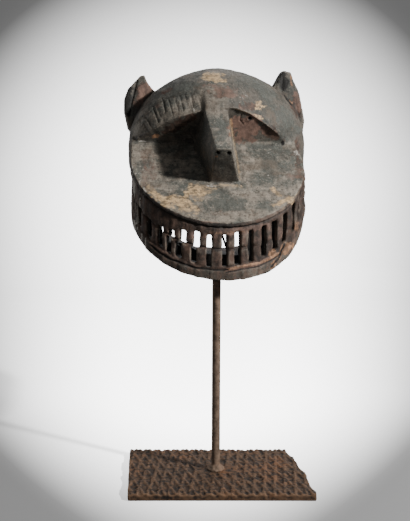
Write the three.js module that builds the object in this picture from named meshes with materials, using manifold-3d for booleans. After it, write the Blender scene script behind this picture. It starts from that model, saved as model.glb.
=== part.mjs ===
// A carved wooden hyena mask on its iron stand: a plate of ridged tread iron, a round rod welded
// upright to it, and a thin wire that reaches from the rod to the inside of the jaw.
// Millimetres, +Z up. The mask faces -Y, turned a little towards +X.

import * as THREE from 'three';
import { mergeVertices } from 'three/addons/utils/BufferGeometryUtils.js';
import Module from 'manifold-3d';

const wasm = await Module();
wasm.setup();

// Driving dimensions of the stand, measured from the rod's axis
const plate = { front: -85.5, back: 81, left: -124, rightBack: 113, rightFront: 126, height: 9.8 };
const plateEdgeWave = 1.8;
const tread = { pitch: 14, leftLean: 16.5, rightLean: 8.8, ridge: 2.6, depth: 1.8 };
const rod = { radius: 6, top: 391, weldRadius: 13, weldHeight: 7 };
const wire = { radius: 1.5, start: [1.6, -7.7, 361.5], end: [10.3, -41, 329] };
const contactGap = 0.3;

// Driving dimensions of the mask in its own frame: x to the side, y back from the front of the lip
const maskPlace = { x: 9.5, y: -60, z: 8, turn: 5.3 };
const lip = { z: 357, halfWidth: 123, reach: 79.5, band: 6 };
const cheekSlope = 46;
const eyeLine = { y: 105.6, z: 466 };
const rim = { y: 190 };
const dome = { x: 8.5, y: 130, z: 453, halfWidth: 130.5, front: 83, back: 170, height: 120 };
const domePower = { back: 2.3, left: 1.85, right: 1.27, across: 1.75, up: 2.4 };
const wall = { dome: 17, muzzle: 15, cheek: 17, socket: 14 };
const jaw = { bottom: -81, top: -64, teethInset: 2.5 };
const hull = { bottom: 274, top: 384, halfWidth: 118, power: 2.5 };

const slope = Math.tan(THREE.MathUtils.degToRad(cheekSlope));
const down = new THREE.Vector3(0, -1, -slope).normalize();
const outOfCheek = new THREE.Vector3(0, -slope, 1).normalize();

// Solids

function toSolid(geometry) {
  const bare = geometry.clone();
  bare.deleteAttribute('normal');
  bare.deleteAttribute('uv');
  const merged = mergeVertices(bare, 1e-4);
  return new wasm.Manifold(new wasm.Mesh({
    numProp: 3,
    vertProperties: new Float32Array(merged.attributes.position.array),
    triVerts: new Uint32Array(merged.index.array),
  }));
}

function toGeometry(solid) {
  const mesh = solid.getMesh();
  const geometry = new THREE.BufferGeometry();
  geometry.setAttribute('position', new THREE.BufferAttribute(new Float32Array(mesh.vertProperties), 3));
  geometry.setIndex(new THREE.BufferAttribute(new Uint32Array(mesh.triVerts), 1));
  geometry.computeVertexNormals();
  return geometry;
}

// A closed solid through rings of equal count, listed from the bottom up, each ring anticlockwise
// seen from above.
function loft(rings) {
  const count = rings[0].length;
  const points = rings.flat();
  const faces = [];
  for (let row = 0; row < rings.length - 1; row += 1) {
    for (let i = 0; i < count; i += 1) {
      const a = row * count + i;
      const b = row * count + ((i + 1) % count);
      faces.push(a, b, b + count, a, b + count, a + count);
    }
  }
  const first = points.length;
  const middle = (ring) => ring.reduce((sum, p) => sum.add(p), new THREE.Vector3()).divideScalar(count);
  points.push(middle(rings[0]), middle(rings.at(-1)));
  const last = (rings.length - 1) * count;
  for (let i = 0; i < count; i += 1) {
    const next = (i + 1) % count;
    faces.push(first, next, i);
    faces.push(first + 1, last + i, last + next);
  }
  const geometry = new THREE.BufferGeometry().setFromPoints(points);
  geometry.setIndex(faces);
  return toSolid(geometry);
}

// An outline given as pairs, drawn out along +Z.
function extruded(outline, depth) {
  const shape = new THREE.Shape(outline.map(([a, b]) => new THREE.Vector2(a, b)));
  return new THREE.ExtrudeGeometry(shape, { depth, bevelEnabled: false, curveSegments: 1 });
}

// A prism over an outline in the x-y plane, between two heights.
function flatPrism(outline, low, high) {
  const geometry = extruded(outline, high - low);
  geometry.translate(0, 0, low);
  return toSolid(geometry);
}

// A prism over an outline in the x-z plane, from y = from back to y = to.
function standingPrism(outline, from, to) {
  const geometry = extruded(outline, to - from);
  geometry.rotateX(Math.PI / 2);
  geometry.translate(0, to, 0);
  return toSolid(geometry);
}

// A prism over an outline in the y-z plane, as wide as the mask and more.
function sidePrism(outline, halfWidth = 200) {
  const geometry = extruded(outline, 2 * halfWidth);
  geometry.applyMatrix4(new THREE.Matrix4().set(0, 0, 1, -halfWidth, 1, 0, 0, 0, 0, 1, 0, 0, 0, 0, 0, 1));
  return toSolid(geometry);
}

// The eight corners of a block become a solid: four of one end, then the four of the other, in
// the same order round.
function block(near, far) {
  const points = [...near, ...far].map((p) => new THREE.Vector3(...p));
  const faces = [0, 1, 2, 0, 2, 3, 4, 6, 5, 4, 7, 6];
  for (let i = 0; i < 4; i += 1) {
    const next = (i + 1) % 4;
    faces.push(i, i + 4, next + 4, i, next + 4, next);
  }
  const geometry = new THREE.BufferGeometry().setFromPoints(points);
  geometry.setIndex(faces);
  return toSolid(geometry);
}

// Mask

// The outline seen from above: half an ellipse at the muzzle, then sides that run back to the
// rim and draw in slightly. The inset moves it towards the inside.
function planOutline(inset, halfWidth, endY, frontSteps = 32) {
  const a = halfWidth - inset;
  const b = lip.reach - inset;
  const points = [];
  for (let i = 0; i <= frontSteps; i += 1) {
    const angle = Math.PI + (Math.PI * i) / frontSteps;
    points.push([a * Math.cos(angle), lip.reach + b * Math.sin(angle)]);
  }
  const drawnIn = 0.05;
  const side = (t, half) => [half * (1 - drawnIn * t * t), lip.reach + (endY - lip.reach) * t];
  for (const t of [0.35, 0.7, 1]) points.push(side(t, a));
  for (const t of [1, 0.7, 0.35]) points.push(side(t, -a));
  return points;
}

const cheekHeight = (y) => lip.z + slope * y;

// The muzzle in rings that all slope with the cheek: lip, recessed band of teeth, jaw. Its sides
// draw in behind the eyes, so that they run out in the side of the head.
function muzzle() {
  const levels = [
    [jaw.bottom, 3.5],
    [jaw.bottom + 3, 0.8],
    [jaw.top, 0],
    [jaw.top + 0.5, jaw.teethInset],
    [-lip.band - 0.5, jaw.teethInset],
    [-lip.band, 0],
    [-1.5, 0],
    [0, 1.2],
  ];
  const start = eyeLine.y - 14;
  const end = eyeLine.y + 46;
  const top = dome.z + 22;
  const drawnIn = 0.07;
  const undercut = { left: 0.002, right: 0.03 };
  const rings = levels.map(([drop, inset]) => planOutline(inset, lip.halfWidth, end).map(([x, y]) => {
    const behind = Math.max(0, (y - start) / (end - start));
    const under = (x < 0 ? undercut.left : undercut.right) * (drop / jaw.bottom);
    return new THREE.Vector3(x * (1 - drawnIn * behind - under), y, cheekHeight(y) + drop);
  }));
  return loft(rings).intersect(sidePrism([[-60, 200], [end, 200], [end, top], [-60, top]]));
}

// How far the side of the head stands from the middle plane, wider on +X.
const sideReach = (x, half) => (x < 0 ? half - dome.x : half + dome.x);

// The lower head behind and under the mouth, rounded below like a boat and cut back at the bow.
function hullSolid() {
  const steps = 9;
  const rings = [];
  const ring = (width, z) => planOutline(0, 1, rim.y + 10, 24)
    .map(([x, y]) => new THREE.Vector3(x * sideReach(x, width), y + 5, z));
  for (let i = 0; i <= steps; i += 1) {
    const z = THREE.MathUtils.lerp(hull.bottom, hull.top, (i / steps) ** 1.6);
    const fall = (hull.top - z) / (hull.top - hull.bottom + 1);
    rings.push(ring(Math.max(hull.halfWidth * (1 - fall ** hull.power) ** (1 / hull.power), 30), z));
  }
  rings.push(ring(dome.halfWidth - 2, hull.top + 34), ring(dome.halfWidth - 0.5, dome.z));
  rings.push(ring(dome.halfWidth * 0.965, dome.z + 30));
  const stem = 18;
  const high = 500;
  const ahead = 24;
  const jawAt = (z) => (z - lip.z - jaw.bottom) / slope - ahead;
  const bow = sidePrism([
    [stem, 250], [rim.y + 20, 250], [rim.y + 20, high], [jawAt(high), high], [stem, 318],
  ]);
  const keel = sidePrism([[-20, 304], [70, hull.bottom - 1], [70, 200], [-20, 200]].reverse());
  return loft(rings).intersect(bow).subtract(keel);
}

// The exponent of the dome's outline seen from above, in the direction of an angle round its
// middle: its front is flatter over the eye on -X and falls away more and more towards +X.
function planPower(angle) {
  if (Math.sin(angle) > 0) return domePower.back;
  const turning = THREE.MathUtils.clamp(Math.cos(angle) / 0.5, 0, 1);
  return THREE.MathUtils.lerp(domePower.left, domePower.right, turning);
}

// The dome of the head, fuller than an ellipsoid at its foot, with a shorter front than back.
function domeSolid(inset) {
  const rows = 13;
  const around = 48;
  const lowest = -0.2 * Math.PI;
  const highest = 0.495 * Math.PI;
  const power = (value, exponent) => Math.sign(value) * Math.abs(value) ** (2 / exponent);
  const rings = [];
  for (let row = 0; row <= rows; row += 1) {
    const rise = THREE.MathUtils.lerp(lowest, highest, row / rows);
    const height = (dome.height - inset) * power(Math.sin(rise), domePower.up);
    const spread = power(Math.cos(rise), domePower.across);
    const ring = [];
    for (let i = 0; i < around; i += 1) {
      const angle = (2 * Math.PI * i) / around;
      const reach = Math.sin(angle) < 0 ? dome.front : dome.back;
      const exponent = planPower(angle);
      ring.push(new THREE.Vector3(
        dome.x + (dome.halfWidth - inset) * spread * power(Math.cos(angle), exponent),
        dome.y + (reach - inset) * spread * power(Math.sin(angle), exponent),
        dome.z + height,
      ));
    }
    rings.push(ring);
  }
  return loft(rings);
}

// The space in front of and above the cheek's plane.
function aboveCheek() {
  const [low, high] = [-60, 200];
  return sidePrism([[low, cheekHeight(low)], [high, cheekHeight(high)], [low, cheekHeight(high)]]);
}

// Everything in front of the socket walls, above the cheek and under the brow line. On -X the cheek
// runs back to a deep wall. On +X the eye is shallow: a low lid stands on the cheek, and the wall
// leans forward from it to close behind the brow.
function eyeNotch() {
  const brow = [
    [-134, 459], [-117, 469], [-88, 483], [-66.6, 496.5], [-43, 503], [-22, 508], [9, 510.5],
    [22.3, 509.7], [42.6, 503], [66, 490], [86, 476.7], [98, 467], [104, 450], [108, 425],
  ];
  const under = standingPrism([[-134, 340], [108, 340], ...brow.slice().reverse()], -40, eyeLine.y + 40);
  const parting = 5;
  const reach = 120;
  const corner = new THREE.Vector3(0, eyeLine.y, eyeLine.z);
  const top = corner.clone().addScaledVector(outOfCheek, reach);
  const front = corner.clone().addScaledVector(down, 190);
  const deep = sidePrism([
    [corner.y, corner.z], [front.y, front.z], [front.y - 60, top.z + 40], [top.y, top.z],
  ].reverse()).intersect(flatPrism([[-200, -150], [parting, -150], [parting, 150], [-200, 150]], 200, 700));
  const section = (x, lidFoot, wallFoot, lean) => [
    [front.y, cheekHeight(front.y)], [lidFoot, cheekHeight(lidFoot)], [wallFoot, eyeLine.z],
    [wallFoot - lean * reach, eyeLine.z + reach], [front.y - 60, top.z + 40],
  ].map(([y, z]) => new THREE.Vector3(x, y, z));
  const shallow = loft([section(parting, 89.5, 87.5, 0.68), section(112, 104.5, 101.5, 0.68)]);
  return under.intersect(deep.add(shallow));
}

// The front surface of the dome over the eye on -X, at a given side place and height.
function onDome(x, z) {
  const up = (z - dome.z) / dome.height;
  const spread = (1 - up ** domePower.up) ** (1 / domePower.across);
  const side = Math.abs(x - dome.x) / (dome.halfWidth * spread);
  return dome.y - dome.front * spread * (1 - side ** domePower.left) ** (1 / domePower.left);
}

// The long facet cut along the brow over the eye on -X: a band between two bent lines on the dome,
// deepest along the brow's edge.
function browFacet() {
  const upper = new THREE.CatmullRomCurve3([
    [-24, 541], [-50, 535], [-78, 521], [-101, 500], [-113, 482],
  ].map(([x, z]) => new THREE.Vector3(x, 0, z)));
  const lower = new THREE.CatmullRomCurve3([
    [-22, 508], [-43, 502], [-66, 495], [-88, 482], [-108, 464],
  ].map(([x, z]) => new THREE.Vector3(x, 0, z)));
  const steps = 9;
  const depth = 5;
  const beyond = 0.35;
  const forward = 60;
  const rings = [];
  for (let i = 0; i <= steps; i += 1) {
    const high = upper.getPoint(i / steps);
    const low = lower.getPoint(i / steps);
    high.y = onDome(high.x, high.z);
    low.y = onDome(low.x, low.z) + depth;
    const over = high.clone().lerp(low, -beyond);
    const under = high.clone().lerp(low, 1 + beyond);
    const ahead = new THREE.Vector3(0, -forward, 0);
    rings.push([over, under, under.clone().add(ahead), over.clone().add(ahead)]);
  }
  return loft(rings);
}

// A block whose corner order is turned round where its volume comes out negative.
function orient(near, far) {
  const side = (p, q) => new THREE.Vector3(...q).sub(new THREE.Vector3(...p));
  const turn = new THREE.Vector3().crossVectors(side(near[0], near[1]), side(near[0], near[3]));
  const ahead = turn.dot(side(near[0], far[0])) < 0;
  return ahead ? block(near, far) : block(near.slice().reverse(), far.slice().reverse());
}

// The long nose: a flat ridge parallel to the cheek, sloping flanks and a cut-off end.
function nose() {
  const height = 62.9;
  const end = 51.8;
  const onCheek = (x, y) => [x, y, cheekHeight(y) - 3];
  const onRidge = (x, y) => [x, y - outOfCheek.z * height * slope, cheekHeight(y) + outOfCheek.z * height];
  const back = eyeLine.y + 6;
  return orient(
    [onCheek(-15, end), onCheek(26, end), onRidge(6.5, end), onRidge(-15, end)],
    [onCheek(-34, back), onCheek(30, back), onRidge(10.5, back), onRidge(-23, back)],
  );
}

// A blade-like ear, thick at its root and thin at its tip.
function ear(outline, front, thickness, taper, lean) {
  const solid = standingPrism(outline, 0, thickness);
  const geometry = toGeometry(solid);
  const place = geometry.attributes.position;
  const low = 470;
  for (let i = 0; i < place.count; i += 1) {
    const rise = (place.getZ(i) - low) / 100;
    const y = place.getY(i) / thickness;
    const depth = thickness * (1 - taper * Math.max(rise, 0));
    place.setY(i, front + lean * rise + depth * y + 0.18 * thickness * rise);
  }
  return toSolid(geometry);
}

function ears() {
  const left = [
    [-94, 553], [-98, 563], [-104, 562], [-122, 543], [-127.5, 528], [-127, 508], [-122, 486],
    [-110, 466], [-84, 470], [-68, 520],
  ];
  const right = [
    [105, 567], [109, 571.5], [120, 569], [124, 556], [132, 540], [136, 520], [140, 498], [137, 478],
    [124, 462], [92, 470], [79, 524],
  ];
  return [ear(left, 132, 34, 0.6, 2), ear(right, 132, 34, 0.5, 2)];
}

// Arc length along the front half-ellipse from its middle, as a parameter angle.
function angleAtLength(length, a, b) {
  const steps = 400;
  let angle = 0;
  let walked = 0;
  const turn = Math.sign(length) * (Math.PI / 2 / steps);
  while (walked < Math.abs(length) && Math.abs(angle) < Math.PI / 2) {
    walked += Math.hypot(a * Math.cos(angle), b * Math.sin(angle)) * Math.abs(turn);
    angle += turn;
  }
  return { angle, rest: Math.abs(length) - walked };
}

// One gap between two teeth, cut level through the wall.
function toothGap(length, width, low, high, depth) {
  const { angle, rest } = angleAtLength(length, lip.halfWidth, lip.reach);
  const side = Math.sign(length) || 1;
  const beyond = rest > 1 ? rest : 0;
  const at = new THREE.Vector2(lip.halfWidth * Math.sin(angle), lip.reach * (1 - Math.cos(angle)) + beyond);
  const inward = beyond > 0
    ? new THREE.Vector2(-side, 0)
    : new THREE.Vector2(-Math.sin(angle) / lip.halfWidth, Math.cos(angle) / lip.reach).normalize();
  const across = new THREE.Vector2(-inward.y, inward.x);
  const corner = (s, t, drop) => {
    const y = at.y + across.y * s;
    return [at.x + across.x * s + inward.x * t, y + inward.y * t, cheekHeight(y) + drop];
  };
  const ring = (t, grow) => [
    corner(-width / 2 - grow, t, low), corner(width / 2 + grow, t, low),
    corner(width / 2 + grow, t, high), corner(-width / 2 - grow, t, high),
  ];
  return orient(ring(-6, 0), ring(depth, 0.6));
}

// Seventeen gaps by hand and eye: the upper and the lower halves meet a little aside of each other,
// the gum over them is taller on -X and the gum under them is taller on +X.
function toothGaps() {
  const gaps = [];
  const pitch = 18.6;
  const middle = -4;
  const meeting = -37.5;
  const depth = wall.muzzle + 7;
  for (let k = -8; k <= 8; k += 1) {
    const uneven = Math.sin(k * 2.3 + 0.6);
    const crowded = k < -3 ? 3.5 : 0;
    const length = middle + pitch * k + 1.1 * uneven + crowded;
    const width = 8.2 + 0.9 * Math.sin(k * 1.7);
    const aside = k < -1 && k > -5 ? -6 + 1.5 * Math.abs(k + 3) : 0.8 * Math.cos(k * 3.1);
    const highest = k > 0 ? -12 : Math.max(-16 + 0.8 * uneven - 5.5 * Math.max(0, -2.4 - k), -33);
    const lowest = Math.min(-59 + uneven + 1.6 * Math.max(0, k), -52);
    gaps.push(toothGap(length, width, meeting - 0.5, highest, depth));
    gaps.push(toothGap(length + aside, width * 0.95, lowest, meeting + 0.5, depth));
  }
  return gaps;
}

// The dome's flank beside the eye on +X, shaved off flat so that it meets the cheek where the
// eye's cut runs out.
function flankShave() {
  const front = [84, 84];
  const back = [139, 130];
  const far = 20;
  const outline = [front, [front[0], -far], [back[0] + far, -far], [back[0] + far, back[1]], back];
  return flatPrism(outline.reverse(), eyeLine.z - 22, dome.z + dome.height).intersect(aboveCheek());
}

// The hollow that the wearer's face went into, and the mouth behind the teeth, open at the back.
// Its floor rises to both sides, and much thicker wood is left under +X.
function bowl() {
  const floor = [
    [-102, 470], [-102, 378], [-96, 352], [-84, 336], [-68, 327], [-51, 322], [-35, 314], [-14, 305],
    [30, 303], [54, 306], [61, 318], [66, 345], [90, 362], [108, 392], [108, 470],
  ];
  const inside = planOutline(wall.muzzle + jaw.teethInset, lip.halfWidth, rim.y + 30, 28);
  const room = flatPrism(inside, 280, 480);
  const sloping = sidePrism([
    [-60, cheekHeight(-60) + jaw.top + 3], [110, cheekHeight(110) + jaw.top + 3], [110, 560], [-60, 560],
  ]);
  const behindTeeth = flatPrism(planOutline(wall.muzzle + jaw.teethInset, lip.halfWidth, 130, 28), 280, 520);
  return room.intersect(standingPrism(floor, 0, rim.y + 30)).add(behindTeeth.intersect(sloping));
}

// The opening in the underside between the arms of the jaw, where the rod comes in.
function jawOpening() {
  const outline = [];
  const steps = 12;
  const { left, right, back } = { left: -58, right: 44, back: 98 };
  const a = lip.halfWidth - wall.muzzle - 4;
  const b = lip.reach - wall.muzzle - 4;
  for (let i = 0; i <= steps; i += 1) {
    const x = THREE.MathUtils.lerp(left, right, i / steps);
    outline.push([x, lip.reach - b * Math.sqrt(1 - (x / a) ** 2)]);
  }
  outline.push([right, back - 14], [right - 18, back], [left + 18, back], [left, back - 14]);
  return flatPrism(outline, 220, 325);
}

// The hollow: the bowl under the cheek, and behind the socket walls the inside of the dome.
function hollow() {
  const far = rim.y + 40;
  const belowCheek = sidePrism([
    [-60, cheekHeight(-60) - wall.cheek], [-60, 200], [far, 200], [far, cheekHeight(far) - wall.cheek],
  ]);
  const back = eyeLine.y + wall.socket / outOfCheek.z;
  const behindSockets = sidePrism([
    [back - slope * 130, eyeLine.z + 130], [back, eyeLine.z], [back + 14, 330],
    [rim.y + 60, 330], [rim.y + 60, eyeLine.z + 130],
  ]);
  return bowl().intersect(belowCheek).add(jawOpening()).add(domeSolid(wall.dome).intersect(behindSockets));
}

function maskSolid() {
  const head = hullSolid().add(domeSolid(0));
  const front = head.add(muzzle());
  const faced = front.subtract(eyeNotch()).subtract(browFacet()).subtract(flankShave());
  const trim = sidePrism([[-60, 200], [rim.y, 200], [rim.y, 640], [-60, 640]]);
  let solid = faced.add(nose());
  for (const blade of ears()) solid = solid.add(blade);
  solid = solid.intersect(trim).subtract(hollow());
  for (const gap of toothGaps()) solid = solid.subtract(gap);
  return solid;
}

// Stand

// The plate's outline, with the cut right-hand edge bulging and slightly wavy.
function plateOutline() {
  const points = [[plate.left, plate.back], [plate.left + 1.5, plate.front]];
  const steps = 10;
  const waves = 5.5;
  for (let i = 0; i <= steps; i += 1) {
    const t = i / steps;
    const wave = Math.sin(t * waves * Math.PI + 0.5) + 2 * Math.sin(t * Math.PI);
    points.push([
      THREE.MathUtils.lerp(plate.rightFront, plate.rightBack, t) + plateEdgeWave * wave,
      THREE.MathUtils.lerp(plate.front, plate.back, t),
    ]);
  }
  return points;
}

// The tread: the plate is left standing as crossing ridges, and each lozenge between is a pit.
function baseSolid() {
  const slab = flatPrism(plateOutline(), 0, plate.height);
  const leanA = Math.tan(THREE.MathUtils.degToRad(tread.leftLean));
  const leanB = Math.tan(THREE.MathUtils.degToRad(tread.rightLean));
  const crossing = (m, n) => {
    const y = ((n - m) * tread.pitch) / (leanA + leanB);
    return new THREE.Vector2(m * tread.pitch + leanB * y, y);
  };
  const pits = [];
  const many = 24;
  for (let m = -many; m <= many; m += 1) {
    for (let n = -many; n <= many; n += 1) {
      const corners = [crossing(m, n), crossing(m + 1, n), crossing(m + 1, n + 1), crossing(m, n + 1)];
      const centre = corners.reduce((sum, p) => sum.add(p), new THREE.Vector2()).divideScalar(4);
      const inside = centre.x > plate.left - 8 && centre.x < plate.rightFront + 8
        && centre.y > plate.front - 24 && centre.y < plate.back + 24;
      if (!inside || centre.length() < rod.weldRadius + 9) continue;
      const shrunk = (share) => corners.map((p) => p.clone().sub(centre).multiplyScalar(share).add(centre));
      const top = shrunk(1 - tread.ridge / tread.pitch);
      const low = shrunk(0.55);
      const rings = [
        low.map((p) => new THREE.Vector3(p.x, p.y, plate.height - tread.depth)),
        top.map((p) => new THREE.Vector3(p.x, p.y, plate.height)),
        top.map((p) => new THREE.Vector3(p.x, p.y, plate.height + 2)),
      ];
      const turn = corners[1].clone().sub(corners[0]).cross(corners[3].clone().sub(corners[0]));
      pits.push(loft(turn > 0 ? rings : rings.map((ring) => ring.slice().reverse())));
    }
  }
  let tool = pits[0];
  for (const pit of pits.slice(1)) tool = tool.add(pit);
  return slab.subtract(tool);
}

// The rod with the weld bead round its foot.
function rodGeometry() {
  const foot = plate.height + contactGap;
  const profile = [
    [0, foot], [rod.weldRadius, foot], [rod.weldRadius - 1, foot + 2.2], [rod.radius + 2.6, foot + 4.6],
    [rod.radius, foot + rod.weldHeight], [rod.radius, rod.top - 1], [rod.radius - 1, rod.top], [0, rod.top],
  ].map(([r, z]) => new THREE.Vector2(r, z));
  const geometry = new THREE.LatheGeometry(profile, 20);
  geometry.rotateX(Math.PI / 2);
  return geometry;
}

function wireGeometry() {
  const round = new THREE.Shape();
  round.absarc(0, 0, wire.radius, 0, Math.PI * 2);
  const start = new THREE.Vector3(...wire.start);
  const end = new THREE.Vector3(...wire.end);
  const middle = start.clone().lerp(end, 0.5).add(new THREE.Vector3(0, 0, -1.2));
  const path = new THREE.CatmullRomCurve3([start, middle, end]);
  return new THREE.ExtrudeGeometry(round, {
    steps: 6, curveSegments: 8, extrudePath: path, bevelEnabled: false,
  });
}

const oldWood = new THREE.MeshStandardMaterial({ color: 0x5c5650, roughness: 0.62, metalness: 0 });
const rustedTread = new THREE.MeshStandardMaterial({ color: 0x5f4838, roughness: 0.85, metalness: 0.3 });
const darkIron = new THREE.MeshStandardMaterial({ color: 0x4e4038, roughness: 0.7, metalness: 0.5 });
const wireIron = new THREE.MeshStandardMaterial({ color: 0x2f2a27, roughness: 0.6, metalness: 0.6 });

function named(name, geometry, material) {
  const mesh = new THREE.Mesh(geometry, material);
  mesh.name = name;
  return mesh;
}

const mask = named('mask', toGeometry(maskSolid()), oldWood);
mask.position.set(maskPlace.x, maskPlace.y, maskPlace.z);
mask.rotation.z = THREE.MathUtils.degToRad(maskPlace.turn);

const standing = new THREE.Group();
standing.add(
  named('base_plate', toGeometry(baseSolid()), rustedTread),
  named('stand_rod', rodGeometry(), darkIron),
  named('cradle_wire', wireGeometry(), wireIron),
  mask,
);

// The origin lies on the floor under the middle of the whole.
const extent = new THREE.Box3().setFromObject(standing, true);
const centre = extent.getCenter(new THREE.Vector3());
standing.position.set(-centre.x, -centre.y, -extent.min.z);

const object = new THREE.Group();
object.add(standing);

export default object;
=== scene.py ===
import math

import bmesh
import bpy
import numpy as np
from bpy.props import FloatProperty, FloatVectorProperty, IntProperty, PointerProperty
from mathutils import Matrix, Vector


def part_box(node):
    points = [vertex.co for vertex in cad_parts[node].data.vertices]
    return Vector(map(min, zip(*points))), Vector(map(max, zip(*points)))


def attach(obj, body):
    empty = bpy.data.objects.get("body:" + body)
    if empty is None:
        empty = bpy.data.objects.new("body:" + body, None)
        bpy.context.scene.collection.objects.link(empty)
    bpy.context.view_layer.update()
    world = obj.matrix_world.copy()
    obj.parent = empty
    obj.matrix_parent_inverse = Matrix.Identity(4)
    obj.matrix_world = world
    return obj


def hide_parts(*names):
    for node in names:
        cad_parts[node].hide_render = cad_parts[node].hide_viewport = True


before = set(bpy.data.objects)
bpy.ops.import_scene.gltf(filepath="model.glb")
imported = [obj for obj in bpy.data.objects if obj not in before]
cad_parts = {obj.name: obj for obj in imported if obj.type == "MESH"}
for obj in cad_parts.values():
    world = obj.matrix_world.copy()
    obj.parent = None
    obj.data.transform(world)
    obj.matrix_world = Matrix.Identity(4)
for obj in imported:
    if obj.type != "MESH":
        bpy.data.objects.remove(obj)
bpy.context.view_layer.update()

bl_info = {
    "name": "Carved Hyena Mask",
    "version": (1, 0, 0),
    "blender": (4, 5, 0),
    "location": "3D View > Sidebar > Mask",
    "description": "Carves, weathers and lights a wooden hyena mask on its iron stand",
    "category": "Object",
}

# The picture's frame, in pixels, and the eye point it was taken from, in metres from the rod's axis
PICTURE = (410, 521)
FOCAL_PIXELS = 820.0
PITCH = math.radians(3.7)
EYE_FROM_ROD = (-0.089, -1.137)
EYE_HEIGHT = 0.454
SHIFT = (0.1, -0.1)
SENSOR = 36.0

# The carved block's own frame, in millimetres: x to the side, y back from the lip, z up
MASK_FROM_ROD = (9.5, -60.0, 8.0)
MASK_TURN = math.radians(5.3)
CHEEK_HEIGHT = 357.0
CHEEK_SLOPE = math.tan(math.radians(46))
LIP_HALF_WIDTH = 123.0
LIP_REACH = 79.5
HOLLOW_MIDDLE = (0.0, 130.0, 430.0)
# Heights over the cheek's plane: the groove under the lip, where the rows of teeth meet, the jaw's top
LIP_GROOVE = -8.4
BITE = -37.5
JAW_TOP = -64.0

# Spans over which the mouth's wall, the teeth in it and what can't be seen begin or end: reach is 1 on
# the lip's outline, back is counted from the lip, foot and top are heights over the cheek's plane
WALL_REACH = (0.92, 0.97)
WALL_BACK = (104, 122)
TEETH_REACH = (0.72, 0.8)
TEETH_BACK = (100, 125)
TEETH_FOOT = (-66, -60)
TEETH_TOP = (-9, -6)
HIDDEN_REACH = (0.8, 0.86)
HIDDEN_BACK = (150, 165)
# Middle and half width of the right temple, to the side, back and up
TEMPLE = ((108, 30), (108, 36), (470, 42))
# How many times the temple and the nose's root are smoothed
TEMPLE_ROUNDS = 40
NOSE_ROUNDS = 30

# A millimetre in the frame's metres, and a metre in millimetres
MM = 0.001
TO_MM = 1000


# Numbers that vary over a surface

# Large odd numbers that mix a cell's place and a seed into a repeatable random number
MIX_PLACE = np.array([374761393, 668265263, 2147483647])
MIX_SEED = 974634777
MIX_ONCE = 1274126177
MIX_TWICE = 668265263


def lattice(cells, seed):
    """A repeatable random number from 0 to 1 for each row of whole numbers."""
    mix = (cells * MIX_PLACE).sum(axis=1) + seed * MIX_SEED
    mix = (mix ^ (mix >> 13)) * MIX_ONCE
    mix = (mix ^ (mix >> 16)) * MIX_TWICE
    return ((mix ^ (mix >> 15)) & 0xFFFFFF) / float(0xFFFFFF)


def noise(points, size, seed=0):
    """Smooth noise from -1 to 1 with features of the given size."""
    scaled = points / size
    cell = np.floor(scaled).astype(np.int64)
    part = scaled - cell
    part = part * part * (3 - 2 * part)
    total = np.zeros(len(points))
    for corner in np.ndindex(2, 2, 2):
        weight = np.prod(np.where(np.array(corner) == 1, part, 1 - part), axis=1)
        total += weight * lattice(cell + np.array(corner), seed)
    return total * 2 - 1


def rough(points, size, octaves=3, seed=0):
    """Noise in several sizes, each half as large and half as strong as the one before."""
    total = np.zeros(len(points))
    for octave in range(octaves):
        total += noise(points, size / 2 ** octave, seed + octave) / 2 ** octave
    return total


def scoops(points, size, seed=0):
    """Squared distance to the nearest of many scattered points: the shallow bowls of a tool's cuts."""
    scaled = points / size
    cell = np.floor(scaled).astype(np.int64)
    nearest = np.full(len(points), 9.0)
    for step in np.ndindex(3, 3, 3):
        there = cell + np.array(step) - 1
        jitter = np.stack([lattice(there, seed + axis) for axis in range(3)], axis=1)
        nearest = np.minimum(nearest, ((there + jitter - scaled) ** 2).sum(axis=1))
    return nearest


def ramp(value, low, high):
    """0 at low and before, 1 at high and beyond, smooth in between."""
    t = np.clip((value - low) / (high - low), 0, 1)
    return t * t * (3 - 2 * t)


def bump_at(value, centre, half_width):
    """1 at the centre, falling smoothly to 0 at half a width to either side."""
    return 1 - ramp(np.abs(value - centre), 0, half_width)


# Meshes

def rows_of(items, name, width, kind=np.float32):
    """One property of all of a mesh's points or edges, a row for each."""
    flat = np.empty(len(items) * width, kind)
    items.foreach_get(name, flat)
    return flat.reshape(-1, width)


def points_of(mesh):
    return rows_of(mesh.vertices, "co", 3).astype(float)


def normals_of(mesh):
    return rows_of(mesh.vertex_normals, "vector", 3).astype(float)


def edges_of(mesh):
    return rows_of(mesh.edges, "vertices", 2, np.int32)


def move_points(mesh, points):
    mesh.vertices.foreach_set("co", points.astype(np.float32).ravel())
    mesh.update()


def neighbour_mean(values, edges):
    """The mean of each point's neighbours, for values in one column or several."""
    columns = values.reshape(len(values), -1)
    ends = np.concatenate([edges[:, 0], edges[:, 1]])
    others = np.concatenate([edges[:, 1], edges[:, 0]])
    number = np.maximum(np.bincount(ends, minlength=len(values)), 1)
    means = [np.bincount(ends, column[others], len(values)) / number for column in columns.T]
    return np.stack(means, axis=1).reshape(values.shape)


def relax(points, edges, weight, rounds):
    """Moves each point towards its neighbours' mean, by its weight, a number of times."""
    near = edges[(weight[edges[:, 0]] > 0) | (weight[edges[:, 1]] > 0)]
    for _ in range(rounds):
        points = points + weight[:, None] * 0.6 * (neighbour_mean(points, near) - points)
    return points


def softened(mesh):
    """The mesh's points, with the steps of the grid smoothed away."""
    points = points_of(mesh)
    return relax(points, edges_of(mesh), np.full(len(points), 0.7), 2)


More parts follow.
